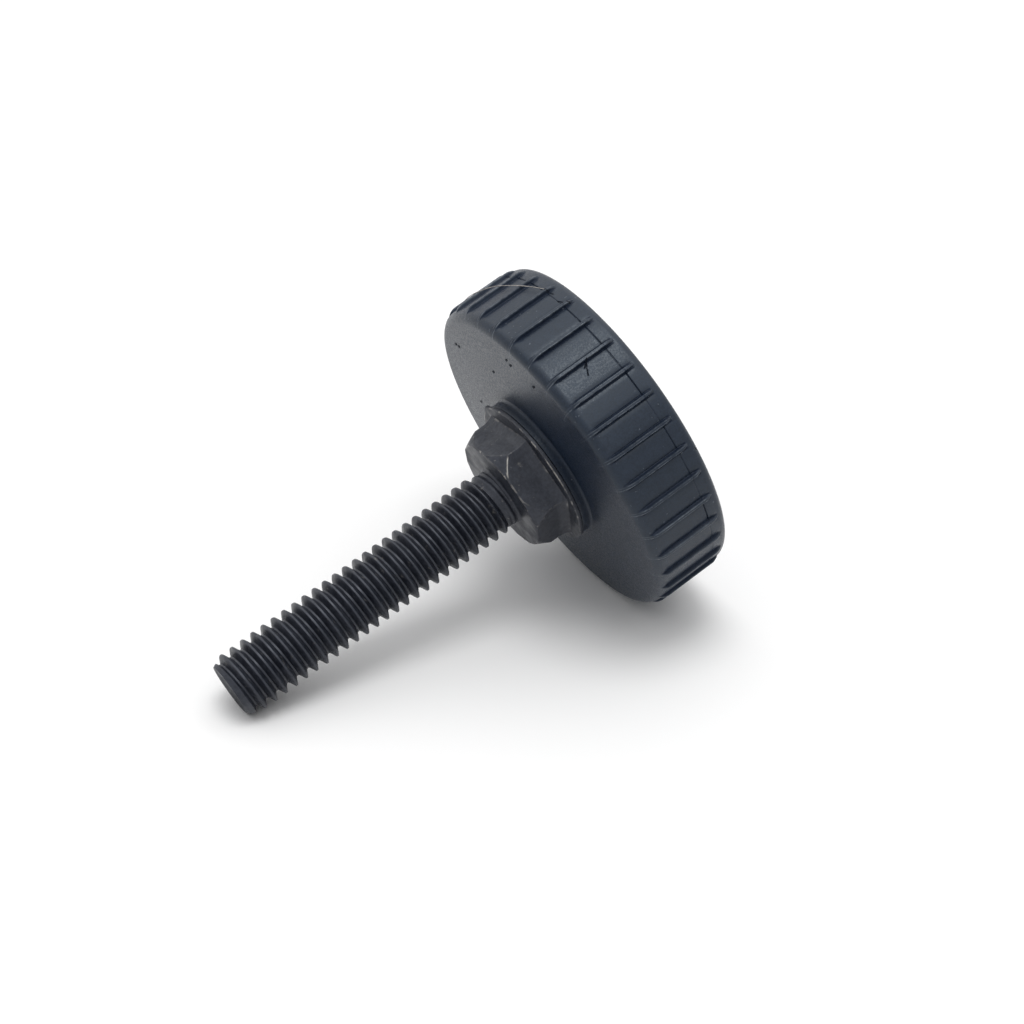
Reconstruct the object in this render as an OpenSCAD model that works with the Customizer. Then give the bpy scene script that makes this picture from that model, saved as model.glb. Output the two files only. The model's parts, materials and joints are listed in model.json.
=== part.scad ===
// Leveling foot: a threaded stud with a flanged hex, moulded into a round
// plastic base with grip ribs round its rim. Millimetres, Z up along the stud,
// origin at the middle of the underside of the base.

/* [Base] */
// Diameter over the grip ribs
base_d = 41.4; // [34:0.1:60]
// Height from the floor to the top of the rounded shoulder
base_h = 10.2; // [9:0.1:20]
// Rise of the upper face from the shoulder to the seat
face_rise = 0.4; // [0:0.1:1]
// Radius that rounds the upper face into the rim
shoulder_r = 1.2; // [0.6:0.1:1.6]
// Radius that rounds the rim into the underside
foot_r = 0.9; // [0.3:0.1:1]
// Diameter of the raised seat under the flange
seat_d = 17.8; // [16.6:0.1:24]
// Height of the raised seat above the upper face
seat_h = 1.3; // [0.5:0.1:4]

/* [Grip ribs] */
// Number of ribs round the rim
rib_count = 36; // [12:1:48]
// Radius of the rib section, which is how far a rib stands out of the rim
rib_r = 0.42; // [0.2:0.01:0.6]
// How much wider a rib bends in over the shoulder than the shoulder itself
rib_ease = 0.32; // [0.2:0.01:1]
// Plain band between the rounded foot and the ribs' lower points
rib_gap = 0.1; // [0:0.1:2]
// Length over which each rib narrows to its lower point
rib_point = 0.8; // [0.4:0.1:1.5]
// Radius of the blunt end of that point
rib_end_r = 0.1; // [0.05:0.01:0.15]
// Turn of the ribs against the hex corners, in degrees
rib_turn = 4.2; // [0:0.1:10]

/* [Threaded shank] */
// Major diameter of the thread
thread_d = 7.9; // [7.5:0.05:8.4]
// Length from the top of the hex to the tip
shank_len = 38; // [16:0.1:100]
// Diameter of the plain neck under the thread
neck_d = 7; // [6:0.05:7.4]
// Length of the plain neck
neck_len = 1.4; // [0.5:0.1:6]
// Length over which the neck widens to the thread
runout_len = 1; // [0.3:0.1:3]
// Diameter of the flat end of the tip
tip_d = 6.4; // [5:0.1:7.4]
// Length of the bevel at the tip
tip_bevel = 1.3; // [0.5:0.1:3]

/* [Hex and flange] */
// Width across the flats of the hex
hex_af = 13.5; // [12:0.1:14]
// Height of the hex above its flange
hex_h = 4.4; // [3.5:0.1:12]
// How far the foot of the hex spreads where it runs into the flange
flare = 0.4; // [0.1:0.1:0.6]
// Height of that spread foot
flare_h = 1.4; // [0.5:0.1:1.5]
// Diameter of the flat top inside the bevelled corners
crown_d = 13.7; // [10:0.1:15]
// How far down the bevel reaches at the corners
crown_drop = 1.7; // [0.4:0.1:2.5]
// Diameter of the flange
flange_d = 18.1; // [16.5:0.1:24]
// Thickness of the flange
flange_t = 0.5; // [0.3:0.1:2]

/* [Anchor inside the base] */
// Diameter of the stem that the base is moulded round
stem_d = 9; // [7.6:0.1:12]
// Length of the stem below the flange
stem_len = 8.4; // [5:0.1:9]
// Width across the two flats that keep the stem from turning
stem_flats = 7.4; // [6:0.1:7.4]
// Diameter at the bottom of the retaining groove
retain_d = 6.6; // [4:0.1:7]
// Width of the retaining groove
retain_w = 2; // [1:0.1:3]
// Height of the collar below the retaining groove
collar_h = 2; // [1:0.1:2.5]

/* [Hidden] */
$fn = 96;
base_r = base_d / 2;
body_r = base_r - rib_r;
seat_foot = base_h + face_rise;
seat_top = seat_foot + seat_h;
flange_top = seat_top + flange_t;
hex_top = flange_top + hex_h;
tip_top = hex_top + shank_len;
hex_corner_r = hex_af / 2 / cos(30);
stem_foot = seat_top - stem_len;
retain_foot = stem_foot + collar_h;
thread_foot = hex_top + neck_len + runout_len;
rib_foot = foot_r + rib_gap;
rib_bend = shoulder_r + rib_r + rib_ease;
rib_bend_z = base_h - rib_bend;
rib_bend_turn = 70;

// Half section of the base: rounded foot, straight rim, rounded shoulder, raised seat.
module base_section() {
    shoulder_z = base_h - shoulder_r;
    polygon([
        [0, 0],
        [body_r - foot_r, 0],
        [body_r - foot_r, foot_r],
        [body_r, foot_r],
        [body_r, shoulder_z],
        [body_r - shoulder_r, shoulder_z],
        [body_r - shoulder_r, base_h],
        [seat_d / 2, seat_foot],
        [seat_d / 2, seat_top],
        [0, seat_top]
    ]);
    translate([body_r - foot_r, foot_r])
        circle(r = foot_r);
    translate([body_r - shoulder_r, shoulder_z])
        circle(r = shoulder_r);
}

// One rib: a round bar sunk to its middle in the rim, with a blunt point at its
// foot and a bend at its top that carries it in until the shoulder covers it.
module rib() {
    straight_foot = rib_foot + rib_point;
    translate([body_r, 0, rib_foot])
        cylinder(h = rib_point, r1 = rib_end_r, r2 = rib_r, $fn = 24);
    translate([body_r, 0, straight_foot])
        cylinder(h = rib_bend_z - straight_foot, r = rib_r, $fn = 24);
    translate([base_r - rib_bend, 0, rib_bend_z])
        rotate([90, 0, 0])
            rotate_extrude(angle = rib_bend_turn)
                translate([rib_bend - rib_r, 0])
                    circle(r = rib_r, $fn = 24);
}

module rib_ring() {
    for (i = [0 : rib_count - 1])
        rotate([0, 0, rib_turn + i * 360 / rib_count])
            rib();
}

// The stem, which runs up into the flange: round with two flats, and waisted by
// the retaining groove.
module stem() {
    upper_foot = retain_foot + retain_w;
    intersection() {
        union() {
            translate([0, 0, stem_foot])
                cylinder(h = collar_h, d = stem_d);
            translate([0, 0, retain_foot])
                cylinder(h = retain_w, d = retain_d);
            translate([0, 0, upper_foot])
                cylinder(h = flange_top - upper_foot, d = stem_d);
        }
        translate([-stem_d, -stem_flats / 2, 0])
            cube([2 * stem_d, stem_flats, flange_top]);
    }
}

// The foot of the hex, spread on all six sides.
module hex_flare() {
    spread_r = hex_corner_r + flare;
    translate([0, 0, flange_top])
        linear_extrude(height = flare_h, scale = hex_corner_r / spread_r)
            circle(r = spread_r, $fn = 6);
}

// Six flats under a steep cone, so that only the corners are bevelled.
module hex() {
    intersection() {
        translate([0, 0, flange_top])
            cylinder(h = hex_h, r = hex_corner_r, $fn = 6);
        rotate_extrude()
            polygon([
                [0, flange_top],
                [hex_corner_r, flange_top],
                [hex_corner_r, hex_top - crown_drop],
                [crown_d / 2, hex_top],
                [0, hex_top]
            ]);
    }
}

// Flange, plain neck, run-out, threaded length at its major diameter, bevelled tip.
module turned_section() {
    polygon([
        [0, seat_top],
        [flange_d / 2, seat_top],
        [flange_d / 2, flange_top],
        [neck_d / 2, flange_top],
        [neck_d / 2, hex_top + neck_len],
        [thread_d / 2, thread_foot],
        [thread_d / 2, tip_top - tip_bevel],
        [tip_d / 2, tip_top],
        [0, tip_top]
    ]);
}

module base() {
    color("#30353b")
        difference() {
            union() {
                rotate_extrude()
                    base_section();
                rib_ring();
            }
            stem();
        }
}

module stud() {
    color("#3c3c3f")
        union() {
            rotate_extrude()
                turned_section();
            hex();
            hex_flare();
            stem();
        }
}

base();
stud();
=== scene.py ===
import json
import math

import bmesh
import bpy
from mathutils import Matrix, Vector, noise

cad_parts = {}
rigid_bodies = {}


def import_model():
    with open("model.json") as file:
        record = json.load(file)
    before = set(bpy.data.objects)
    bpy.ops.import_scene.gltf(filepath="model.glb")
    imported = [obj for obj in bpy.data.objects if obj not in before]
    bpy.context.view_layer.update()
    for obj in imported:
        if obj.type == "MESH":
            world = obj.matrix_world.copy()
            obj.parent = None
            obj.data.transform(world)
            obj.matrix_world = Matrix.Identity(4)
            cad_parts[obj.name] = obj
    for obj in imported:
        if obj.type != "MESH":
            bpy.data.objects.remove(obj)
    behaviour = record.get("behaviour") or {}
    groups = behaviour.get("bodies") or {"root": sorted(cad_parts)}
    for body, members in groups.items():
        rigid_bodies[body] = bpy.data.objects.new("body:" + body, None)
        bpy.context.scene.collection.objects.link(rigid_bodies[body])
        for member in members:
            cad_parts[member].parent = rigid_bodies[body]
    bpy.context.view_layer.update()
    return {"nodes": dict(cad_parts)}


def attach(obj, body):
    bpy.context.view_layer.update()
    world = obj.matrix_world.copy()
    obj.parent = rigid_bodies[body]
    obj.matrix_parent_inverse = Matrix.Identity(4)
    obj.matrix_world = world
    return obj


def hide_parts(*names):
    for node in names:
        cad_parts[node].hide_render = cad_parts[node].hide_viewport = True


for leftover in list(bpy.data.objects):
    bpy.data.objects.remove(leftover)
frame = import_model()
scene = bpy.context.scene
mm = 0.001  # sizes below are in millimetres and take this factor when they are used
print("frame loaded:", sorted(frame["nodes"]))


# helpers for node trees, for geometry and for materials alike
def feed(tree, socket, value):
    if isinstance(value, bpy.types.NodeSocket):
        tree.links.new(value, socket)
    else:
        socket.default_value = value


def calc(tree, operation, *values, clamp=False):
    node = tree.nodes.new("ShaderNodeMath")
    node.operation = operation
    node.use_clamp = clamp
    for slot, value in enumerate(values):
        feed(tree, node.inputs[slot], value)
    return node.outputs[0]


def vectorCalc(tree, operation, *values, scale=None, result="Vector"):
    node = tree.nodes.new("ShaderNodeVectorMath")
    node.operation = operation
    for slot, value in enumerate(values):
        feed(tree, node.inputs[slot], value)
    if scale is not None:
        feed(tree, node.inputs["Scale"], scale)
    return node.outputs[result]


def ramp(tree, value, low, high, atLow=0.0, atHigh=1.0, smooth=True):
    node = tree.nodes.new("ShaderNodeMapRange")
    node.interpolation_type = "SMOOTHSTEP" if smooth else "LINEAR"
    settings = {"Value": value, "From Min": low, "From Max": high, "To Min": atLow, "To Max": atHigh}
    for name, item in settings.items():
        feed(tree, node.inputs[name], item)
    return node.outputs["Result"]


def between(tree, value, rising, falling):
    # 1 from the end of the rising stretch to the start of the falling one
    return calc(tree, "MULTIPLY", ramp(tree, value, *rising), ramp(tree, value, *falling, 1.0, 0.0))


def gapTo(tree, value, middle, width):
    return calc(tree, "DIVIDE", calc(tree, "SUBTRACT", value, middle), width)


def bell(tree, gap):
    # 1 in the middle, fading to 0 about two widths away
    return calc(tree, "EXPONENT", calc(tree, "MULTIPLY", calc(tree, "MULTIPLY", gap, gap), -1.0))


def xyz(tree, x, y, z):
    node = tree.nodes.new("ShaderNodeCombineXYZ")
    for slot, value in enumerate((x, y, z)):
        feed(tree, node.inputs[slot], value)
    return node.outputs[0]


def polar(tree, radius, angle, height):
    x = calc(tree, "MULTIPLY", radius, calc(tree, "COSINE", angle))
    y = calc(tree, "MULTIPLY", radius, calc(tree, "SINE", angle))
    return xyz(tree, x, y, height)


# helpers for meshes
def meshFrom(name, points, faces):
    mesh = bpy.data.meshes.new(name)
    mesh.from_pydata(points, [], faces)
    mesh.validate()
    piece = bpy.data.objects.new(name, mesh)
    scene.collection.objects.link(piece)
    return piece


def ringMesh(name, angles, rowsAt):
    # rowsAt(angle) gives (radius, height) from the bottom pole to the top pole
    columns = [rowsAt(angle) for angle in angles]
    rowCount = len(columns[0])
    count = len(angles)
    points = [(0, 0, columns[0][0][1])]
    for row in range(1, rowCount - 1):
        for angle, column in zip(angles, columns):
            radius, height = column[row]
            points.append((radius * math.cos(angle), radius * math.sin(angle), height))
    points.append((0, 0, columns[0][-1][1]))
    last = len(points) - 1
    faces = []
    for i in range(count):
        j = (i + 1) % count
        faces.append((0, 1 + j, 1 + i))
        for row in range(rowCount - 3):
            a = 1 + row * count
            faces.append((a + i, a + j, a + count + j, a + count + i))
        a = 1 + (rowCount - 3) * count
        faces.append((a + i, a + j, last))
    return meshFrom(name, points, faces)


def arc(centreR, centreZ, radius, startDegrees, endDegrees, steps):
    result = []
    for step in range(steps + 1):
        angle = math.radians(startDegrees + (endDegrees - startDegrees) * step / steps)
        result.append((centreR + radius * math.cos(angle), centreZ + radius * math.sin(angle)))
    return result


def scaled(pair):
    # two sizes in mm, as metres
    return pair[0] * mm, pair[1] * mm


def aroundAxis(radius, degrees, height):
    angle = math.radians(degrees)
    return (radius * math.cos(angle), radius * math.sin(angle), height)


# helpers for geometry trees
def newTree(name, inputs):
    tree = bpy.data.node_groups.new(name, "GeometryNodeTree")
    tree.interface.new_socket("Geometry", in_out="INPUT", socket_type="NodeSocketGeometry")
    for label, kind, value in inputs:
        socket = tree.interface.new_socket(label, in_out="INPUT", socket_type=kind)
        if value is not None:
            socket.default_value = value
    tree.interface.new_socket("Geometry", in_out="OUTPUT", socket_type="NodeSocketGeometry")
    entry = tree.nodes.new("NodeGroupInput")
    return tree, {item.name: item for item in entry.outputs if item.name}


def closeTree(tree, geometry, material):
    realize = tree.nodes.new("GeometryNodeRealizeInstances")
    setMaterial = tree.nodes.new("GeometryNodeSetMaterial")
    leave = tree.nodes.new("NodeGroupOutput")
    tree.links.new(geometry, realize.inputs[0])
    tree.links.new(realize.outputs[0], setMaterial.inputs["Geometry"])
    feed(tree, setMaterial.inputs["Material"], material)
    tree.links.new(setMaterial.outputs[0], leave.inputs[0])


def runTree(piece, tree, values):
    # sets the named inputs, turns the result into a plain mesh and removes the modifier
    modifier = piece.modifiers.new(tree.name, "NODES")
    modifier.node_group = tree
    identifiers = {item.name: item.identifier for item in tree.interface.items_tree if item.in_out == "INPUT"}
    for name, value in values.items():
        modifier[identifiers[name]] = value
    result = bpy.data.meshes.new_from_object(piece.evaluated_get(bpy.context.evaluated_depsgraph_get()))
    piece.modifiers.remove(modifier)
    old = piece.data
    piece.data = result
    bpy.data.meshes.remove(old)
    return piece


def storeFloat(tree, geometry, name, value):
    node = tree.nodes.new("GeometryNodeStoreNamedAttribute")
    node.data_type = "FLOAT"
    node.domain = "POINT"
    node.inputs["Name"].default_value = name
    tree.links.new(geometry, node.inputs["Geometry"])
    feed(tree, node.inputs["Value"], value)
    return node.outputs["Geometry"]


def movePoints(tree, geometry, position):
    node = tree.nodes.new("GeometryNodeSetPosition")
    tree.links.new(geometry, node.inputs["Geometry"])
    feed(tree, node.inputs["Position"], position)
    return node.outputs["Geometry"]


def splitPosition(tree):
    place = tree.nodes.new("GeometryNodeInputPosition")
    parts = tree.nodes.new("ShaderNodeSeparateXYZ")
    tree.links.new(place.outputs[0], parts.inputs[0])
    return place.outputs[0], parts.outputs[0], parts.outputs[1], parts.outputs[2]


# helpers for materials
def newMaterial(name):
    material = bpy.data.materials.new(name)
    material.use_nodes = True
    tree = material.node_tree
    shader = tree.nodes["Principled BSDF"]
    place = tree.nodes.new("ShaderNodeTexCoord").outputs["Object"]
    return material, tree, shader, place


def grain(tree, place, scale, detail=3.0, roughness=0.55):
    node = tree.nodes.new("ShaderNodeTexNoise")
    tree.links.new(place, node.inputs["Vector"])
    node.inputs["Scale"].default_value = scale
    node.inputs["Detail"].default_value = detail
    node.inputs["Roughness"].default_value = roughness
    return node.outputs["Fac"]


def mixColour(tree, factor, first, second):
    node = tree.nodes.new("ShaderNodeMix")
    node.data_type = "RGBA"
    feed(tree, node.inputs["Factor"], factor)
    feed(tree, node.inputs["A"], (*first, 1) if isinstance(first, tuple) else first)
    feed(tree, node.inputs["B"], (*second, 1) if isinstance(second, tuple) else second)
    return node.outputs["Result"]


def maskOf(tree, name):
    node = tree.nodes.new("ShaderNodeAttribute")
    node.attribute_name = name
    return node.outputs["Fac"]


def bumpFrom(tree, height, strength, distance, before=None):
    node = tree.nodes.new("ShaderNodeBump")
    node.inputs["Strength"].default_value = strength
    node.inputs["Distance"].default_value = distance
    tree.links.new(height, node.inputs["Height"])
    if before:
        tree.links.new(before, node.inputs["Normal"])
    return node.outputs["Normal"]


def nearLine(tree, place, start, end, halfWidth):
    # 1 on a straight mark between two places on the surface, fading to 0 at its edges
    start = Vector(start) * mm
    along = Vector(end) * mm - start
    offset = vectorCalc(tree, "SUBTRACT", place, tuple(start))
    share = vectorCalc(tree, "DOT_PRODUCT", offset, tuple(along), result="Value")
    share = calc(tree, "DIVIDE", share, along.length_squared, clamp=True)
    onLine = vectorCalc(tree, "SCALE", tuple(along), scale=share)
    gap = vectorCalc(tree, "LENGTH", vectorCalc(tree, "SUBTRACT", offset, onLine), result="Value")
    return ramp(tree, gap, halfWidth * 0.4 * mm, halfWidth * mm, 1.0, 0.0)


def strokes(tree, place, lines, halfWidth):
    total = 0.0
    for start, end in lines:
        total = calc(tree, "MAXIMUM", total, nearLine(tree, place, start, end, halfWidth))
    return total


def seenDirectly(tree):
    # 1 for what the camera sees, also in a reflection, and 0 for the light that falls on the part
    path = tree.nodes.new("ShaderNodeLightPath")
    mirrored = calc(tree, "MAXIMUM", path.outputs["Is Glossy Ray"], path.outputs["Is Transmission Ray"])
    return calc(tree, "MAXIMUM", path.outputs["Is Camera Ray"], mirrored)


# the moulded plastic of the base
plasticLook = {
    "dark": (0.0042, 0.0080, 0.0175),
    "light": (0.0090, 0.0150, 0.0285),
    # pale of worn rib crests, with a painted highlight along their edges; also the colour of pale specks
    "rubbedAndHighlight": (0.115, 0.13, 0.155),
    # painted shade: the near-black colour inside cuts and pits
    "paintedShade": (0.002, 0.003, 0.006),
    "roughness": (0.29, 0.46),
    "grainScale": 5000.0,
    "grainHeight": 0.024,  # mm
    "blotchScale": 900.0,
    "patchScale": 1100.0,
    "dotScale": 2400.0,
    "dotShare": 0.5,
    "markDepth": 0.1,  # mm
    "markRoughness": 0.5,  # added inside a mark
    "specular": 0.42,
    "sheenTint": (0.79, 0.88, 0.95),
    # painted shade: a darker reflection tint in the hollows and marks
    "paintedShadeTint": (0.12, 0.13, 0.16),
    "paintedShadeShare": 0.85,
}

# marks: on the rim as (turn in degrees, height), on the upper face as (turn in degrees, radius), in mm
baseMarks = {
    "scratches": (
        ((109.5, 5.75), (111.2, 5.4)),
        ((111.4, 5.4), (113.3, 4.95)),
        ((112.0, 5.55), (113.8, 4.75)),
    ),
    "nicks": (
        ((70.8, 0.35), (71.8, 0.45)),
        ((137.5, 2.3), (133.6, 1.6)),
        ((145.2, 2.3), (141.2, 1.95)),
    ),
    "pits": (
        (-168.6, 17.4),
        (-170.3, 16.9),
        (-139.1, 12.8),
        (136.3, 16.7),
        (138.5, 17.1),
        (121.5, 16.9),
        (160.6, 13.0),
    ),
    "rimRadius": 20.28,
    "rimFrom": (19.2, 19.6),  # rim marks fade out between these radii
    "faceHeight": 10.4,
    "cutHalfWidth": 0.1,
    "pitHalfWidth": 0.22,
    "pitLength": 0.6,
}


def markMask(tree, place, marks):
    # a rim mark is drawn on the place brought out to the rim, a pit on the place at the face's height
    rim, face = marks["rimRadius"], marks["faceHeight"]
    flat = vectorCalc(tree, "MULTIPLY", place, (1.0, 1.0, 0.0))
    outward = vectorCalc(tree, "SCALE", vectorCalc(tree, "NORMALIZE", flat), scale=rim * mm)
    wrapped = vectorCalc(tree, "ADD", outward, vectorCalc(tree, "MULTIPLY", place, (0.0, 0.0, 1.0)))
    onRim = ramp(tree, vectorCalc(tree, "LENGTH", flat, result="Value"), *scaled(marks["rimFrom"]))
    paths = marks["scratches"] + marks["nicks"]
    cuts = [(aroundAxis(rim, *start), aroundAxis(rim, *end)) for start, end in paths]
    cut = calc(tree, "MULTIPLY", strokes(tree, wrapped, cuts, marks["cutHalfWidth"]), onRim)
    level = vectorCalc(tree, "MULTIPLY_ADD", place, (1.0, 1.0, 0.0), (0.0, 0.0, face * mm))
    starts = [Vector(aroundAxis(radius, turn, face)) for turn, radius in marks["pits"]]
    pits = [(start, start + Vector((0.0, marks["pitLength"], 0.0))) for start in starts]
    return calc(tree, "MAXIMUM", cut, strokes(tree, level, pits, marks["pitHalfWidth"]))


def plasticMaterial(look, marks):
    material, tree, shader, place = newMaterial("charcoalPlastic")
    fine = grain(tree, place, look["grainScale"], 2.0, 0.6)
    blotch = grain(tree, place, look["blotchScale"])
    tone = calc(tree, "ADD", calc(tree, "MULTIPLY", fine, 0.6), calc(tree, "MULTIPLY", blotch, 0.4))
    skin = mixColour(tree, ramp(tree, tone, 0.36, 0.64), look["dark"], look["light"])
    patch = ramp(tree, grain(tree, place, look["patchScale"]), 0.4, 0.62, 0.12, 1.0)
    # the crests' edges: pale wear with a painted highlight
    rubAndHighlight = calc(tree, "MULTIPLY", maskOf(tree, "rubAndHighlightMask"), patch)
    dots = ramp(tree, grain(tree, place, look["dotScale"], 1.0), 0.73, 0.78, 0.0, look["dotShare"])
    skin = mixColour(tree, calc(tree, "MAXIMUM", rubAndHighlight, dots), skin, look["rubbedAndHighlight"])
    cut = calc(tree, "MULTIPLY", markMask(tree, place, marks), ramp(tree, fine, 0.35, 0.55, 0.45, 0.95))
    # painted shade: marks are coloured near black inside
    tree.links.new(mixColour(tree, cut, skin, look["paintedShade"]), shader.inputs["Base Color"])
    # painted shade: the reflection is tinted darker on the rib flanks, along the creases, near the seat and
    # in marks
    paintedShade = calc(tree, "MAXIMUM", cut, maskOf(tree, "paintedShadeMask"))
    paintedShade = calc(tree, "MULTIPLY", paintedShade, look["paintedShadeShare"])
    tint = mixColour(tree, paintedShade, look["sheenTint"], look["paintedShadeTint"])
    tree.links.new(tint, shader.inputs["Specular Tint"])
    rough = ramp(tree, fine, 0.36, 0.62, *look["roughness"])
    rough = calc(tree, "MULTIPLY_ADD", cut, look["markRoughness"], rough)
    tree.links.new(rough, shader.inputs["Roughness"])
    shader.inputs["Specular IOR Level"].default_value = look["specular"]
    relief = bumpFrom(tree, calc(tree, "SUBTRACT", 1.0, cut), 1.0, look["markDepth"] * mm)
    tree.links.new(bumpFrom(tree, fine, 0.6, look["grainHeight"] * mm, relief), shader.inputs["Normal"])
    return material


# the black-oxide steel of the stud
steelLook = {
    "dark": (0.0040, 0.0052, 0.0095),
    "light": (0.0150, 0.0175, 0.0250),
    "wornAndHighlight": (0.48, 0.46, 0.43),
    "wornAndHighlightMetal": 0.7,
    "roughness": (0.34, 0.58),
    "grainScale": 2300.0,
    "grainHeight": 0.036,  # mm
    "blotchScale": 420.0,
    "patchScale": 520.0,
    "scuffScale": 1000.0,
    "scuffShare": 0.24,
    "specular": 0.5,
    "sheenTint": (0.86, 0.9, 1.0),
}


def steelMaterial(look):
    material, tree, shader, place = newMaterial("blackOxideSteel")
    fine = grain(tree, place, look["grainScale"], 4.0, 0.6)
    skin = mixColour(tree, ramp(tree, fine, 0.35, 0.65), look["dark"], look["light"])
    # edges are worn through in patches and painted pale there as a highlight too, and faint scuffs lie all
    # over
    patch = ramp(tree, grain(tree, place, look["patchScale"], 4.0, 0.6), 0.5, 0.62, 0.05, 1.0)
    scuff = grain(tree, place, look["scuffScale"], 5.0, 0.7)
    scuff = ramp(tree, scuff, 0.6, 0.74, 0.0, look["scuffShare"])
    rubAndHighlight = calc(tree, "MAXIMUM", calc(tree, "MULTIPLY", maskOf(tree, "wearAndHighlightMask"), patch), scuff)
    tree.links.new(mixColour(tree, rubAndHighlight, skin, look["wornAndHighlight"]), shader.inputs["Base Color"])
    tree.links.new(calc(tree, "MULTIPLY", rubAndHighlight, look["wornAndHighlightMetal"]), shader.inputs["Metallic"])
    smooth, rough = look["roughness"]
    blotch = grain(tree, place, look["blotchScale"])
    tree.links.new(ramp(tree, blotch, 0.3, 0.7, rough, smooth), shader.inputs["Roughness"])
    shader.inputs["Specular IOR Level"].default_value = look["specular"]
    shader.inputs["Specular Tint"].default_value = (*look["sheenTint"], 1)
    tree.links.new(bumpFrom(tree, fine, 0.45, look["grainHeight"] * mm), shader.inputs["Normal"])
    return material


charcoalPlastic = plasticMaterial(plasticLook, baseMarks)
blackOxideSteel = steelMaterial(steelLook)
print("materials made")


# the base: a turned body, then a tree that raises the ribs and the mould seam on it
baseSizes = {
    "rimRadius": 20.28,
    "shoulderHeight": 9.0,
    "shoulderRadius": 1.2,
    "footRadius": 0.9,
    "faceRise": 0.4,
    "seatRadius": 8.9,
    "seatTop": 11.9,
    "seatFillet": 0.35,
    "seatEdge": 0.12,
    "seatWallTop": 11.3,  # a row that keeps the seat's edge crisp
    "stemRadius": 4.5,
    "stemHalfFlats": 3.7,
    "stemFoot": 3.5,
    "retainFoot": 5.5,
    "retainTop": 7.5,
    "retainRadius": 3.3,
}
undersideRings = (6, 13, 18)  # radii
# heights of the rows up the rim, close together at the ribs' feet, at the seam and at the bend
rimRows = (1.0, 1.1, 1.2, 1.3, 1.45, 1.6, 1.75, 1.9, 2.05, 2.14, 2.2, 2.24, 2.28, 2.32, 2.36, 2.4, 2.46, 2.55)
rimRows += (2.8, 4.5, 6.4, 8.0, 8.26, 8.45, 8.6, 8.75, 8.88)
# columns beside the middle of a rib, in mm
ribOffsets = (0.06, 0.11, 0.15, 0.18, 0.21, 0.24, 0.27, 0.3, 0.33, 0.37, 0.41, 0.47, 0.95)
ribSizes = {
    "Rib Count": 36.0,
    "Rib Turn": math.radians(4.2),
    "Rim Radius": baseSizes["rimRadius"] * mm,
    "Crest Radius": 20.7 * mm,
    "Crest Half Width": 0.13 * mm,
    "Foot Half Width": 0.33 * mm,
    "Foot Height": 1.0 * mm,
    "Point Length": 0.85 * mm,
    "Bend Height": 8.3 * mm,
    "Bend Radius": 1.72 * mm,
    "Crease Offset": 0.38 * mm,
    "Crease Width": 0.04 * mm,
    "Crease Depth": 0.04 * mm,
    "Seam Height": 2.3 * mm,
    "Seam Width": 0.06 * mm,
    "Seam Depth": 0.13 * mm,
    "Seam Step": 0.04 * mm,
    "Rub And Highlight Offset": 0.15 * mm,
    "Rub And Highlight Width": 0.05 * mm,
    "Upper Rub And Highlight": 0.4,
    "Seed": 7,
}
# where painted shade makes the surface reflect less, on the rib flanks and near the seat, in mm: (start, end)
# of each fade
paintedShadeReach = {
    "flankStart": (0.15, 0.24),
    "flankEnd": (0.38, 0.46),
    "flankTop": (9.0, 9.8),
    "seatFace": (9.2, 10.2),
    "seatHeight": 10.55,
    "seatShare": 0.5,
}


def stemRadiusAt(angle, sizes, radius):
    # the round stem cut by its two flats, which face +Y and -Y
    across = abs(math.sin(angle))
    return min(radius, sizes["stemHalfFlats"] / across) if across > 0.01 else radius


def baseRows(angle):
    s = baseSizes
    rim, top, foot = s["rimRadius"], s["seatTop"], s["footRadius"]
    faceOuter = rim - s["shoulderRadius"]
    faceLow = s["shoulderHeight"] + s["shoulderRadius"]
    rows = [(0, 0)] + [(radius, 0) for radius in (*undersideRings, rim - foot - 0.15)]
    rows += arc(rim - foot, foot, foot, -90, 0, 7)
    rows += [(rim, height) for height in rimRows]
    rows += arc(faceOuter, s["shoulderHeight"], s["shoulderRadius"], 0, 90, 20)
    fillet = s["seatFillet"]
    seatFoot = faceLow + s["faceRise"]
    filletOuter = s["seatRadius"] + fillet
    for k in range(1, 6):
        share = k / 6
        rows.append((faceOuter + (filletOuter - faceOuter) * share, faceLow + s["faceRise"] * share))
    rows += arc(filletOuter, seatFoot + fillet, fillet, -90, -180, 4)
    rows += [(s["seatRadius"], s["seatWallTop"])]
    rows += arc(s["seatRadius"] - s["seatEdge"], top - s["seatEdge"], s["seatEdge"], 0, 90, 3)
    stem = stemRadiusAt(angle, s, s["stemRadius"])
    waist = stemRadiusAt(angle, s, s["retainRadius"])
    rows += [(stem, top), (stem, s["retainTop"]), (waist, s["retainTop"])]
    rows += [(waist, s["retainFoot"]), (stem, s["retainFoot"]), (stem, s["stemFoot"]), (0, s["stemFoot"])]
    return [(radius * mm, height * mm) for radius, height in rows]


def baseAngles():
    offsets = [-offset for offset in reversed(ribOffsets)] + [0] + list(ribOffsets)
    angles = []
    for rib in range(int(ribSizes["Rib Count"])):
        centre = ribSizes["Rib Turn"] + 2 * math.pi * rib / ribSizes["Rib Count"]
        angles += [centre + offset / baseSizes["rimRadius"] for offset in offsets]
        angles.append(centre + math.pi / ribSizes["Rib Count"])
    return angles


def nearestRib(tree, given, x, y):
    # the place in the order of ribs, and the distance beside the nearest rib's middle
    turn = calc(tree, "SUBTRACT", calc(tree, "ARCTAN2", y, x), given["Rib Turn"])
    step = calc(tree, "DIVIDE", given["Rib Count"], 2 * math.pi)
    order = calc(tree, "MULTIPLY", turn, step)
    across = calc(tree, "DIVIDE", calc(tree, "SUBTRACT", order, calc(tree, "ROUND", order)), step)
    return order, calc(tree, "MULTIPLY", across, given["Rim Radius"])


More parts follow.
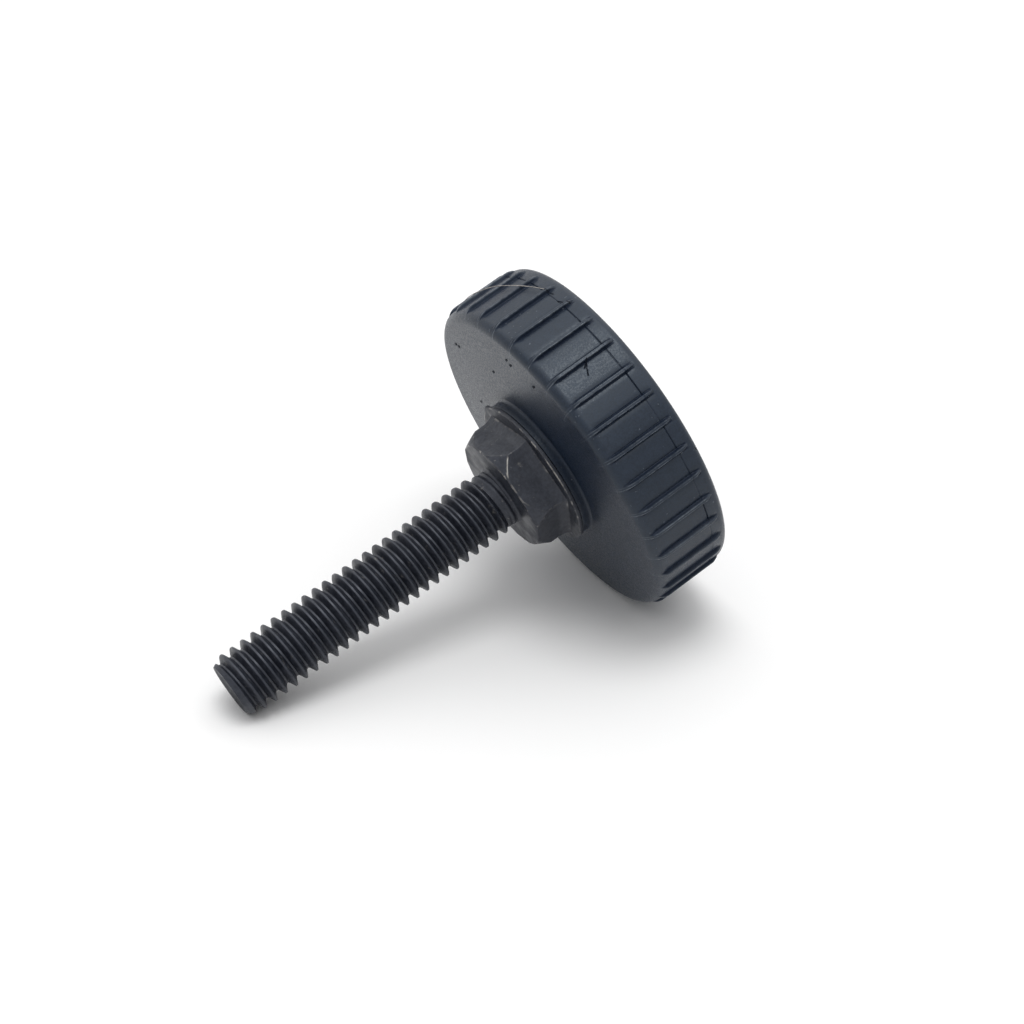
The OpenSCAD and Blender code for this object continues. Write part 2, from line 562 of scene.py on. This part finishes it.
def crestLine(tree, given, z):
    # upright, then a bend that runs in until the shoulder covers it
    bend = given["Bend Radius"]
    above = calc(tree, "MAXIMUM", calc(tree, "SUBTRACT", z, given["Bend Height"]), 0.0)
    drop = calc(tree, "SUBTRACT", calc(tree, "MULTIPLY", bend, bend), calc(tree, "MULTIPLY", above, above))
    inward = calc(tree, "SUBTRACT", bend, calc(tree, "SQRT", calc(tree, "MAXIMUM", drop, 0.0)))
    return calc(tree, "SUBTRACT", given["Crest Radius"], inward)


def ribSection(tree, given, across, full):
    # 1 on the crest and 0 beside the rib, narrowing to a point at its foot
    taper = ramp(tree, full, 0.0, 1.0, 0.25, 1.0, smooth=False)
    wide = calc(tree, "MULTIPLY", given["Foot Half Width"], taper)
    narrow = calc(tree, "MULTIPLY", given["Crest Half Width"], full)
    return calc(tree, "MULTIPLY", ramp(tree, across, narrow, wide, 1.0, 0.0), full)


def mouldSeam(tree, given, order, z):
    # a fine crease on the lands, with the part below it set out a little, uneven from land to land
    chance = tree.nodes.new("FunctionNodeRandomValue")
    chance.data_type = "FLOAT"
    tree.links.new(calc(tree, "FLOOR", order), chance.inputs["ID"])
    tree.links.new(given["Seed"], chance.inputs["Seed"])
    luck = [output for output in chance.outputs if output.enabled][0]
    gap = gapTo(tree, z, given["Seam Height"], given["Seam Width"])
    crease = calc(tree, "MULTIPLY", bell(tree, gap), ramp(tree, luck, 0.0, 1.0, 0.35, 1.0, smooth=False))
    below = calc(tree, "MULTIPLY", ramp(tree, gap, -1.5, 1.5, 1.0, 0.0), ramp(tree, z, 0.9 * mm, 1.5 * mm))
    below = calc(tree, "MULTIPLY", below, ramp(tree, luck, 0.0, 1.0, -0.2, 1.0, smooth=False))
    setOut = calc(tree, "MULTIPLY", below, given["Seam Step"])
    return crease, calc(tree, "SUBTRACT", setOut, calc(tree, "MULTIPLY", crease, given["Seam Depth"]))


def crestRubAndHighlight(tree, given, aside):
    # both edges of a crest, worn pale with a painted highlight, the lower one more than the upper one
    lowerEdge = calc(tree, "MULTIPLY", given["Rub And Highlight Offset"], -1.0)
    lower = bell(tree, gapTo(tree, aside, lowerEdge, given["Rub And Highlight Width"]))
    upper = bell(tree, gapTo(tree, aside, given["Rub And Highlight Offset"], given["Rub And Highlight Width"]))
    return calc(tree, "MULTIPLY_ADD", upper, given["Upper Rub And Highlight"], lower)


def ribFlanks(tree, across, share, z):
    # both sides of a rib, from its foot to the bend, where painted shade darkens the reflection
    flanks = between(tree, across, scaled(paintedShadeReach["flankStart"]), scaled(paintedShadeReach["flankEnd"]))
    top = ramp(tree, z, *scaled(paintedShadeReach["flankTop"]), 1.0, 0.0)
    return calc(tree, "MULTIPLY", flanks, calc(tree, "MULTIPLY", ramp(tree, share, 0.0, 0.3), top))


def gripTree():
    numbers = []
    for name, value in ribSizes.items():
        numbers.append((name, "NodeSocketInt" if name == "Seed" else "NodeSocketFloat", value))
    tree, given = newTree("gripRibs", numbers + [("Material", "NodeSocketMaterial", None)])
    place, x, y, z = splitPosition(tree)
    radius = calc(tree, "SQRT", calc(tree, "ADD", calc(tree, "MULTIPLY", x, x), calc(tree, "MULTIPLY", y, y)))
    order, aside = nearestRib(tree, given, x, y)
    across = calc(tree, "ABSOLUTE", aside)
    aboveFoot = calc(tree, "SUBTRACT", z, given["Foot Height"])
    share = calc(tree, "DIVIDE", aboveFoot, given["Point Length"], clamp=True)
    full = calc(tree, "POWER", share, 0.6)
    section = ribSection(tree, given, across, full)
    rise = calc(tree, "MAXIMUM", calc(tree, "SUBTRACT", crestLine(tree, given, z), radius), 0.0)
    crease, seam = mouldSeam(tree, given, order, z)
    seam = calc(tree, "MULTIPLY", seam, calc(tree, "SUBTRACT", 1.0, section))
    change = calc(tree, "MULTIPLY_ADD", section, rise, seam)
    # a fine crease along each side of a rib's foot
    side = bell(tree, gapTo(tree, across, given["Crease Offset"], given["Crease Width"]))
    fade = calc(tree, "MULTIPLY", full, ramp(tree, z, 8.5 * mm, 9.3 * mm, 1.0, 0.0))
    side = calc(tree, "MULTIPLY", calc(tree, "MULTIPLY", side, fade), given["Crease Depth"])
    change = calc(tree, "SUBTRACT", change, side)
    wallFrom = calc(tree, "SUBTRACT", given["Rim Radius"], 1.25 * mm)
    onWall = calc(tree, "GREATER_THAN", radius, wallFrom)
    change = calc(tree, "MULTIPLY", change, onWall)
    outward = vectorCalc(tree, "NORMALIZE", xyz(tree, x, y, 0.0))
    shift = vectorCalc(tree, "SCALE", outward, scale=change)
    moved = movePoints(tree, given["Geometry"], vectorCalc(tree, "ADD", place, shift))
    # masks for the material
    # the crests' edges: pale wear with a painted highlight
    rubAndHighlight = calc(tree, "MULTIPLY", crestRubAndHighlight(tree, given, aside), calc(tree, "MULTIPLY", section, onWall))
    # painted shade: a darker reflection on both sides of each rib and along the seam crease
    paintedShade = calc(tree, "MAXIMUM", ribFlanks(tree, across, share, z), crease)
    paintedShade = calc(tree, "MULTIPLY", paintedShade, onWall)
    # painted shade near the seat, where its wall meets the face
    nearSeat = ramp(tree, radius, *scaled(paintedShadeReach["seatFace"]), 1.0, 0.0)
    aboveFace = calc(tree, "GREATER_THAN", z, paintedShadeReach["seatHeight"] * mm)
    nearSeat = calc(tree, "MULTIPLY", nearSeat, aboveFace)
    nearSeat = calc(tree, "MULTIPLY", nearSeat, paintedShadeReach["seatShare"])
    moved = storeFloat(tree, moved, "rubAndHighlightMask", rubAndHighlight)
    moved = storeFloat(tree, moved, "paintedShadeMask", calc(tree, "MAXIMUM", paintedShade, nearSeat))
    closeTree(tree, moved, given["Material"])
    return tree


def makeBase():
    body = ringMesh("base_moulding", baseAngles(), baseRows)
    return runTree(body, gripTree(), dict(ribSizes, Material=charcoalPlastic))


# a pale fibre that lies across the ribs
fibreSizes = {
    "radius": 20.74,  # from the axis
    "thickness": 0.06,
    "sides": 6,
    "steps": 6,  # between two knots
    "dark": (0.30, 0.28, 0.26),
    "light": (0.50, 0.47, 0.44),
    "roughness": 0.7,
    "grainScale": 2500.0,
}
# its knots as (turn in degrees, height in mm)
fibrePath = (
    (190, 6.9),
    (183, 6.6),
    (176.5, 6.15),
    (169.9, 5.43),
    (164.8, 4.75),
    (158.4, 4.1),
    (153.4, 3.46),
    (148.1, 2.77),
    (144.4, 2.3),
)


def fibreMaterial(look):
    material, tree, shader, place = newMaterial("paleFibre")
    tone = ramp(tree, grain(tree, place, look["grainScale"]), 0.35, 0.65)
    tree.links.new(mixColour(tree, tone, look["dark"], look["light"]), shader.inputs["Base Color"])
    shader.inputs["Roughness"].default_value = look["roughness"]
    return material


def fibreSpine(knots, steps):
    # a smooth curve through the knots
    spine = []
    last = len(knots) - 1
    for i in range(last):
        before, start, end, after = knots[max(i - 1, 0)], knots[i], knots[i + 1], knots[min(i + 2, last)]
        for step in range(steps):
            t = step / steps
            bend = (end - before) * (t - 2 * t**2 + t**3) / 2 + (after - start) * (t**3 - t**2) / 2
            spine.append(start * (1 - 3 * t**2 + 2 * t**3) + end * (3 * t**2 - 2 * t**3) + bend)
    return spine + [knots[-1]]


def makeFibre():
    s = fibreSizes
    sides = s["sides"]
    spine = fibreSpine([Vector(aroundAxis(s["radius"], *knot)) for knot in fibrePath], s["steps"])
    last = len(spine) - 1
    points, faces = [], []
    for i, spot in enumerate(spine):
        ahead = (spine[min(i + 1, last)] - spine[max(i - 1, 0)]).normalized()
        side = ahead.cross(Vector((0, 0, 1))).normalized()
        up = side.cross(ahead)
        thick = s["thickness"] * (0.75 + 0.35 * noise.noise(spot * 0.9))
        for k in range(sides):
            turn = 2 * math.pi * k / sides
            points.append((spot + (side * math.cos(turn) + up * math.sin(turn)) * thick) * mm)
    for i in range(last):
        for k in range(sides):
            a, b = i * sides + k, i * sides + (k + 1) % sides
            faces.append((a, b, b + sides, a + sides))
    end = last * sides
    faces += [tuple(reversed(range(sides))), tuple(range(end, end + sides))]
    fibre = meshFrom("base_fibre", points, faces)
    fibre.data.materials.append(fibreMaterial(s))
    return fibre


base = makeBase()
fibre = makeFibre()
print("base made:", len(base.data.polygons), "faces")


# the shank: one strip of faces that follows the helix, with run-out and bevelled tip
threadSizes = {
    "Crest Radius": 3.92 * mm,
    "Root Radius": 3.05 * mm,
    "Neck Radius": 3.47 * mm,
    "Neck Ring": 0.05 * mm,
    "Pitch": 25.4 / 18 * mm,
    "Crest Height": 51.614 * mm,  # a crest passes through this height at the crest angle
    "Crest Angle": math.radians(95.2),
    "Foot": 15.5 * mm,
    "Tip": 54.8 * mm,
    "Tip Radius": 3.2 * mm,
    "Tip Bevel": 1.4 * mm,
    "Run-out Foot": 17.9 * mm,
    "Run-out Length": 1.3 * mm,
    "Crest Share": 0.055,  # half of the flat crest, as a share of the pitch
    "Root Share": 0.42,
    "Crest Dip": 0.05 * mm,
    "Unevenness": 0.12 * mm,
}
threadSteps = {"perTurn": 96, "perPitch": 20, "turns": 29, "startTurn": -0.999}
# worn pale, with a painted highlight: a stripe above each crest, in shares of the pitch, and the edge of the
# tip, in mm
threadWearAndHighlight = {
    "stripeStart": (0.02, 0.05),
    "stripeEnd": (0.07, 0.12),
    "tipEdge": (54.64, 54.76),
    "tipShare": 0.8,
}
# rings that dish the end face, as (share of the radius, depth in mm)
endDish = ((0.95, 0.03), (0.88, 0.14), (0.78, 0.26), (0.6, 0.36), (0.3, 0.42))


def threadGrid(tree, given):
    # a flat grid read as turns by turns up the helix; gives the angle and the height of each point
    grid = tree.nodes.new("GeometryNodeMeshGrid")
    grid.inputs["Size X"].default_value = 1.0
    grid.inputs["Size Y"].default_value = float(threadSteps["turns"])
    grid.inputs["Vertices X"].default_value = threadSteps["perTurn"] + 1
    grid.inputs["Vertices Y"].default_value = threadSteps["turns"] * threadSteps["perPitch"] + 1
    x, y = splitPosition(tree)[1:3]
    share = calc(tree, "ADD", x, 0.5)
    level = calc(tree, "ADD", y, threadSteps["turns"] / 2 + threadSteps["startTurn"])
    angle = calc(tree, "MULTIPLY", share, 2 * math.pi)
    height = calc(tree, "MULTIPLY_ADD", calc(tree, "ADD", level, share), given["Pitch"], given["Foot"])
    height = calc(tree, "MINIMUM", calc(tree, "MAXIMUM", height, given["Foot"]), given["Tip"])
    return grid.outputs["Mesh"], angle, height


def threadProfile(tree, given, off):
    # off is the distance from the nearest crest as a share of the pitch
    straight = ramp(tree, off, given["Crest Share"], given["Root Share"], smooth=False)
    soft = ramp(tree, off, given["Crest Share"], given["Root Share"])
    flank = calc(tree, "ADD", calc(tree, "MULTIPLY", straight, 0.6), calc(tree, "MULTIPLY", soft, 0.4))
    depth = calc(tree, "SUBTRACT", given["Crest Radius"], given["Root Radius"])
    radius = calc(tree, "SUBTRACT", given["Crest Radius"], calc(tree, "MULTIPLY", flank, depth))
    dip = calc(tree, "MULTIPLY", ramp(tree, off, 0.0, 0.05, 1.0, 0.0), given["Crest Dip"])
    return calc(tree, "SUBTRACT", radius, dip)


def neckRadius(tree, given, phase, height):
    # the neck keeps faint rings from the rolling
    ring = calc(tree, "COSINE", calc(tree, "MULTIPLY", phase, 4 * math.pi))
    ring = calc(tree, "MULTIPLY", ring, given["Neck Ring"])
    ring = calc(tree, "MULTIPLY", ring, ramp(tree, height, 17.0 * mm, 17.3 * mm))
    return calc(tree, "ADD", given["Neck Radius"], ring)


def threadTree():
    numbers = [(name, "NodeSocketFloat", value) for name, value in threadSizes.items()]
    tree, given = newTree("rolledThread", numbers + [("Material", "NodeSocketMaterial", None)])
    strip, angle, height = threadGrid(tree, given)
    phase = gapTo(tree, height, given["Crest Height"], given["Pitch"])
    phase = calc(tree, "SUBTRACT", phase, gapTo(tree, angle, given["Crest Angle"], 2 * math.pi))
    offset = calc(tree, "SUBTRACT", phase, calc(tree, "ROUND", phase))
    radius = threadProfile(tree, given, calc(tree, "ABSOLUTE", offset))
    # the thread fades into the neck
    runOut = calc(tree, "SUBTRACT", height, given["Run-out Foot"])
    runOut = calc(tree, "DIVIDE", runOut, given["Run-out Length"], clamp=True)
    neck = neckRadius(tree, given, phase, height)
    radius = calc(tree, "MULTIPLY_ADD", calc(tree, "SUBTRACT", radius, neck), runOut, neck)
    # rolled steel isn't quite even
    rough = tree.nodes.new("ShaderNodeTexNoise")
    rough.inputs["Scale"].default_value = 900.0
    rough.inputs["Detail"].default_value = 3.0
    tree.links.new(polar(tree, 4 * mm, angle, height), rough.inputs["Vector"])
    uneven = calc(tree, "SUBTRACT", rough.outputs["Fac"], 0.55)
    radius = calc(tree, "MULTIPLY_ADD", uneven, given["Unevenness"], radius)
    # the bevel at the tip cuts the last crests
    slope = calc(tree, "SUBTRACT", given["Crest Radius"], given["Tip Radius"])
    slope = calc(tree, "DIVIDE", slope, given["Tip Bevel"])
    belowTip = calc(tree, "SUBTRACT", given["Tip"], height)
    bevel = calc(tree, "MULTIPLY_ADD", belowTip, slope, given["Tip Radius"])
    radius = calc(tree, "MINIMUM", radius, bevel)
    moved = movePoints(tree, strip, polar(tree, radius, angle, height))
    # pale stripes above the crests and at the tip's edge: wear with a painted highlight
    ridge = between(tree, offset, threadWearAndHighlight["stripeStart"], threadWearAndHighlight["stripeEnd"])
    tipEdge = ramp(tree, height, *scaled(threadWearAndHighlight["tipEdge"]))
    tipEdge = calc(tree, "MULTIPLY", tipEdge, threadWearAndHighlight["tipShare"])
    wearAndHighlight = calc(tree, "MAXIMUM", calc(tree, "MULTIPLY", ridge, runOut), tipEdge)
    moved = storeFloat(tree, moved, "wearAndHighlightMask", wearAndHighlight)
    weld = tree.nodes.new("GeometryNodeMergeByDistance")
    tree.links.new(moved, weld.inputs["Geometry"])
    weld.inputs["Distance"].default_value = 0.002 * mm
    closeTree(tree, weld.outputs[0], given["Material"])
    return tree


def capEnds(piece, dish):
    # closes each open ring with a fan round a middle point, the tip over rings that dish its end face
    work = bmesh.new()
    work.from_mesh(piece.data)
    rims = [edge for edge in work.edges if edge.is_boundary]
    slot = max(face.material_index for face in work.faces)
    for level, rings in ((min, ()), (max, dish)):
        height = level(vertex.co.z for edge in rims for vertex in edge.verts)
        pairs = [tuple(edge.verts) for edge in rims if abs(edge.verts[0].co.z - height) < 1e-6]
        outer = {vertex: vertex.co.copy() for pair in pairs for vertex in pair}
        depth = 0
        for share, depth in rings:
            inner = {}
            for vertex, at in outer.items():
                inner[vertex] = work.verts.new((at.x * share, at.y * share, height - depth * mm))
            for a, b in pairs:
                work.faces.new((a, b, inner[b], inner[a]))
            pairs = [(inner[a], inner[b]) for a, b in pairs]
            outer = {inner[vertex]: at for vertex, at in outer.items()}
        middle = work.verts.new((0, 0, height - depth * mm))
        for a, b in pairs:
            work.faces.new((a, b, middle))
    for face in work.faces:
        face.material_index = slot
    bmesh.ops.recalc_face_normals(work, faces=work.faces)
    work.to_mesh(piece.data)
    work.free()


def makeThread():
    shank = meshFrom("stud_shank", [(0, 0, 0)], [])
    runTree(shank, threadTree(), dict(threadSizes, Material=blackOxideSteel))
    capEnds(shank, endDish)
    return shank


shank = makeThread()
print("thread made:", len(shank.data.polygons), "faces")


# the head: flange, hex with bevelled corners, and the stem inside the base
headSizes = {
    "acrossFlats": 13.5,
    "cornerRound": 0.3,
    "flangeFoot": 11.9,
    "flangeTop": 12.4,
    "flangeRadius": 9.02,
    "flangeEdge": 0.14,
    "flangeWobble": 0.09,
    "hexTop": 16.8,
    "crownRadius": 6.85,
    "crownDrop": 1.7,
    "flare": 0.4,
    "flareHeight": 1.4,
    "neckRadius": 3.5,
    "neckFillet": 0.35,
}
# burrs on the flange edge, as (turn in degrees, width in degrees, size in mm)
flangeBurrs = ((184.0, 4.5, 0.34), (17.0, 4.0, 0.16), (-12.0, 6.0, 0.12))
# columns beside a corner of the hex, in degrees; the middle of a flat is at 30
cornerSteps = (0.4, 0.9, 1.3, 2, 3, 4.5, 6, 8, 10, 12, 14, 16, 18, 20, 22, 24, 26, 28)


def awayFromCorner(angle):
    # the corners lie at 0, 60, 120 degrees and so on
    return (angle + math.pi / 6) % (math.pi / 3) - math.pi / 6


def hexRadius(angle, sizes):
    # distance to the hex outline, with each corner rounded
    half, rounding = sizes["acrossFlats"] / 2, sizes["cornerRound"]
    away = awayFromCorner(angle)
    middle = (half - rounding) / math.cos(math.pi / 6)
    edge = math.atan2(rounding / 2, middle + rounding * math.cos(math.pi / 6))
    if abs(away) < edge:
        return middle * math.cos(away) + math.sqrt(rounding**2 - (middle * math.sin(away)) ** 2)
    return half / math.cos(math.pi / 6 - abs(away))


def bevelFootAt(hexAt, sizes):
    # the bevel is a cone, so it reaches lower where the hex stands out further
    slope = sizes["crownDrop"] / (hexRadius(0, sizes) - sizes["crownRadius"])
    return sizes["hexTop"] - max(0.06, (hexAt - sizes["crownRadius"]) * slope)


def flangeRadiusAt(angle, sizes):
    radius = sizes["flangeRadius"]
    radius += sizes["flangeWobble"] * noise.noise(Vector((3 * math.cos(angle), 3 * math.sin(angle), 0.4)))
    for turn, width, size in flangeBurrs:
        away = (math.degrees(angle) - turn + 180) % 360 - 180
        radius += size * math.exp(-((away / width) ** 2))
    return radius


def headRows(angle):
    s = headSizes
    b = baseSizes
    top = s["hexTop"]
    hexAt = hexRadius(angle, s)
    crown = min(s["crownRadius"], hexAt - 0.05)
    bevelFoot = bevelFootAt(hexAt, s)
    stem = stemRadiusAt(angle, b, b["stemRadius"])
    waist = stemRadiusAt(angle, b, b["retainRadius"])
    flange = flangeRadiusAt(angle, s)
    edge = s["flangeEdge"]
    # stem
    rows = [(0, b["stemFoot"]), (stem, b["stemFoot"]), (stem, b["retainFoot"]), (waist, b["retainFoot"])]
    rows += [(waist, b["retainTop"]), (stem, b["retainTop"]), (stem, s["flangeFoot"]), (7, s["flangeFoot"])]
    # flange
    rows += [(flange - 0.1, s["flangeFoot"]), (flange, s["flangeFoot"] + 0.1)]
    rows += arc(flange - edge, s["flangeTop"] - edge, edge, 0, 90, 3)
    foot = hexAt + s["flare"]
    rows += [(flange - edge - 0.07, s["flangeTop"] + 0.005), ((foot + flange) / 2, s["flangeTop"] + 0.02)]
    rows += [(foot + 0.12, s["flangeTop"] + 0.04)]
    # spread foot and flats of the hex
    for k in range(7):
        share = k / 6
        spread = s["flare"] * (1 - share) ** 1.6
        rows.append((hexAt + spread, s["flangeTop"] + 0.08 + (s["flareHeight"] - 0.08) * share))
    low = s["flangeTop"] + s["flareHeight"]
    high = bevelFoot - 0.06
    rows += [(hexAt, low + (high - 0.08 - low) * k / 4) for k in range(1, 5)] + [(hexAt, high)]
    # bevel and crown
    rows += [(hexAt - 0.03, bevelFoot + 0.02)]
    for share in (0.12, 0.35, 0.65, 0.88):
        rows.append((hexAt + (crown - hexAt) * share, bevelFoot + (top - bevelFoot) * share))
    rows += [(crown + 0.02, top - 0.04), (crown - 0.1, top), (crown - 0.22, top)]
    rows += [(6.2, top), (5.2, top), (4.4, top)]
    fillet = s["neckFillet"]
    rows += arc(s["neckRadius"] + fillet, top + fillet, fillet, -90, -170, 4)
    rows += [(3.3, top + fillet), (0, top + fillet)]
    return [(radius * mm, height * mm) for radius, height in rows]


def headAngles():
    angles = []
    for corner in range(6):
        steps = [-step for step in reversed(cornerSteps)] + [0] + list(cornerSteps) + [30]
        angles += [math.radians(60 * corner) + math.radians(step) for step in steps]
    return angles


def wearAndHighlightOnHead(head):
    # worn pale, with a painted highlight, along the flange edge, the foot of the hex, its corners and the
    # edges of its bevel; on the corners and the bevel's edges most on the side turned to the lamps
    s = headSizes
    flangeTop, hexTop = s["flangeTop"], s["hexTop"]
    wearAndHighlight = head.data.attributes.new("wearAndHighlightMask", "FLOAT", "POINT")
    for vertex in head.data.vertices:
        x, y, z = (value / mm for value in vertex.co)
        radius, angle = math.hypot(x, y), math.atan2(y, x)
        hexAt = hexRadius(angle, s)
        bevelFoot = bevelFootAt(hexAt, s)
        away = abs(awayFromCorner(angle))
        # strongest on the side turned to the lamps, for the painted highlight
        lampSide = 0.15 + 0.85 * max(0.0, math.cos(angle - math.radians(150))) ** 2
        wornAndHighlight = 0.0
        if radius > 8.6 and flangeTop - 0.1 < z < flangeTop + 0.001:
            wornAndHighlight = 0.55
        elif flangeTop + 0.06 < z < flangeTop + 0.12:
            wornAndHighlight = 0.4
        elif abs(z - bevelFoot) < 0.07 and radius > hexAt - 0.1:
            wornAndHighlight = lampSide
        elif z > hexTop - 0.06 and abs(radius - min(s["crownRadius"], hexAt)) < 0.15:
            wornAndHighlight = lampSide
        elif away < 0.012 and z > flangeTop + 0.5 and radius > hexAt - 0.1:
            wornAndHighlight = 0.75 * lampSide
        wearAndHighlight.data[vertex.index].value = wornAndHighlight


def makeHead():
    head = ringMesh("stud_head", headAngles(), headRows)
    head.data.materials.append(blackOxideSteel)
    wearAndHighlightOnHead(head)
    return head


head = makeHead()
print("head made:", len(head.data.polygons), "faces")


def shadeSoft(piece, degrees):
    for polygon in piece.data.polygons:
        polygon.use_smooth = True
    piece.data.set_sharp_from_angle(angle=math.radians(degrees))


shadeSoft(base, 38)
shadeSoft(fibre, 80)
shadeSoft(shank, 45)
shadeSoft(head, 28)

for piece, node in ((base, "base"), (fibre, "base"), (shank, "stud"), (head, "stud")):
    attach(piece, "root")
    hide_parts(node)

# camera: the foot lies on its side below it, so the camera is rolled against the part's own upright
cameraSetup = {
    "turn": 185.7,  # degrees about the stud
    "elevation": 12.71,
    "roll": 125.89,
    "distance": 269.24,
    "sideways": -2.259,
    "upwards": 16.497,
    "lens": 81.465,
}


def makeCamera(setup):
    elevation, roll = math.radians(setup["elevation"]), math.radians(setup["roll"])
    right = Vector((1, 0, 0))
    up = Vector((0, math.sin(elevation), math.cos(elevation)))
    ahead = Vector((0, math.cos(elevation), -math.sin(elevation)))
    imageRight = right * math.cos(roll) - up * math.sin(roll)
    imageUp = right * math.sin(roll) + up * math.cos(roll)
    place = right * setup["sideways"] + up * setup["upwards"] - ahead * setup["distance"]
    turn = Matrix.Rotation(math.radians(setup["turn"]), 4, "Z")
    pose = Matrix((imageRight, imageUp, -ahead)).transposed().to_4x4()
    pose.translation = place * mm
    lens = bpy.data.cameras.new("camera")
    lens.sensor_width = 36
    lens.lens = setup["lens"]
    lens.clip_start = 0.01
    lens.clip_end = 20
    camera = bpy.data.objects.new("camera", lens)
    scene.collection.objects.link(camera)
    camera.matrix_world = turn @ pose
    scene.camera = camera
    return camera


camera = makeCamera(cameraSetup)

# floor: the plane that the rim and the tip lie on, so it leans against the part's own upright
floorSetup = {
    "contactAngle": -38.4,  # degrees, the side on which the foot lies
    "rimTouch": (20.62, 9.1),  # radius and height of the touching places
    "tipTouch": (3.45, 54.4),
    "halfSize": 3000,
    "white": 0.85,
    "whiteSeen": 1.0,  # as the camera sees it
}


def floorAxes(setup):
    angle = math.radians(setup["contactAngle"])
    outward = Vector((math.cos(angle), math.sin(angle), 0))
    rim = outward * setup["rimTouch"][0] + Vector((0, 0, setup["rimTouch"][1]))
    tip = outward * setup["tipTouch"][0] + Vector((0, 0, setup["tipTouch"][1]))
    along = (tip - rim).normalized()
    normal = along.cross(Vector((0, 0, 1)).cross(outward)).normalized()
    if normal.dot(outward) > 0:
        normal.negate()
    return rim * mm, along, normal


floorSpot, floorAlong, floorNormal = floorAxes(floorSetup)


def floorMaterial(setup):
    # white from above, and clear from below
    material = bpy.data.materials.new("whiteSheet")
    material.use_nodes = True
    tree = material.node_tree
    tree.nodes.clear()
    sheet = tree.nodes.new("ShaderNodeBsdfDiffuse")
    white, whiteSeen = (setup["white"],) * 3, (setup["whiteSeen"],) * 3
    tree.links.new(mixColour(tree, seenDirectly(tree), white, whiteSeen), sheet.inputs["Color"])
    clear = tree.nodes.new("ShaderNodeBsdfTransparent")
    pick = tree.nodes.new("ShaderNodeMixShader")
    tree.links.new(tree.nodes.new("ShaderNodeNewGeometry").outputs["Backfacing"], pick.inputs["Fac"])
    tree.links.new(sheet.outputs[0], pick.inputs[1])
    tree.links.new(clear.outputs[0], pick.inputs[2])
    out = tree.nodes.new("ShaderNodeOutputMaterial")
    tree.links.new(pick.outputs[0], out.inputs["Surface"])
    return material


def makeFloor(setup):
    side = floorNormal.cross(floorAlong)
    size = setup["halfSize"] * mm
    signs = ((-1, -1), (1, -1), (1, 1), (-1, 1))
    corners = [floorSpot + floorAlong * (a * size) + side * (b * size) for a, b in signs]
    floor = meshFrom("floor", corners, [(0, 1, 2, 3)])
    if floor.data.polygons[0].normal.dot(floorNormal) < 0:
        floor.data.flip_normals()
    floor.data.materials.append(floorMaterial(setup))
    floor.visible_shadow = False
    return floor


floor = makeFloor(floorSetup)

# lamps: soft boxes, placed by how far above the floor, towards the camera and to its right they stand
lampSetup = {
    "key": {"up": 900, "toward": 165, "right": 0, "size": 450, "power": 2.4},
    "sky": {"up": 1000, "toward": -100, "right": 0, "size": 2800, "power": 17.1},
    "under": {"up": -500, "toward": 120, "right": 60, "size": 500, "power": 0.5},
}


def makeLamps(setup):
    centre = Vector((0, 0, 0.027))
    view = (camera.matrix_world.translation - centre).normalized()
    toward = (view - floorNormal * view.dot(floorNormal)).normalized()
    rightward = toward.cross(floorNormal) * -1
    for name, s in setup.items():
        light = bpy.data.lights.new(name, "AREA")
        light.shape = "DISK"
        light.size = s["size"] * mm
        light.energy = s["power"]
        lamp = bpy.data.objects.new(name, light)
        scene.collection.objects.link(lamp)
        offset = floorNormal * s["up"] + toward * s["toward"] + rightward * s["right"]
        lamp.location = centre + offset * mm
        lamp.rotation_euler = (lamp.location - centre).to_track_quat("Z", "Y").to_euler()


makeLamps(lampSetup)

worldSetup = {"fill": 0.27, "seen": 1.0}  # strength as light on the part, and as the camera sees it


def makeWorld(setup):
    world = bpy.data.worlds.new("studio")
    world.use_nodes = True
    scene.world = world
    tree = world.node_tree
    back = tree.nodes["Background"]
    back.inputs["Color"].default_value = (1, 1, 1, 1)
    strength = ramp(tree, seenDirectly(tree), 0.0, 1.0, setup["fill"], setup["seen"], smooth=False)
    tree.links.new(strength, back.inputs["Strength"])


makeWorld(worldSetup)
scene.view_settings.view_transform = "Standard"
print("camera, floor, lamps and world made")
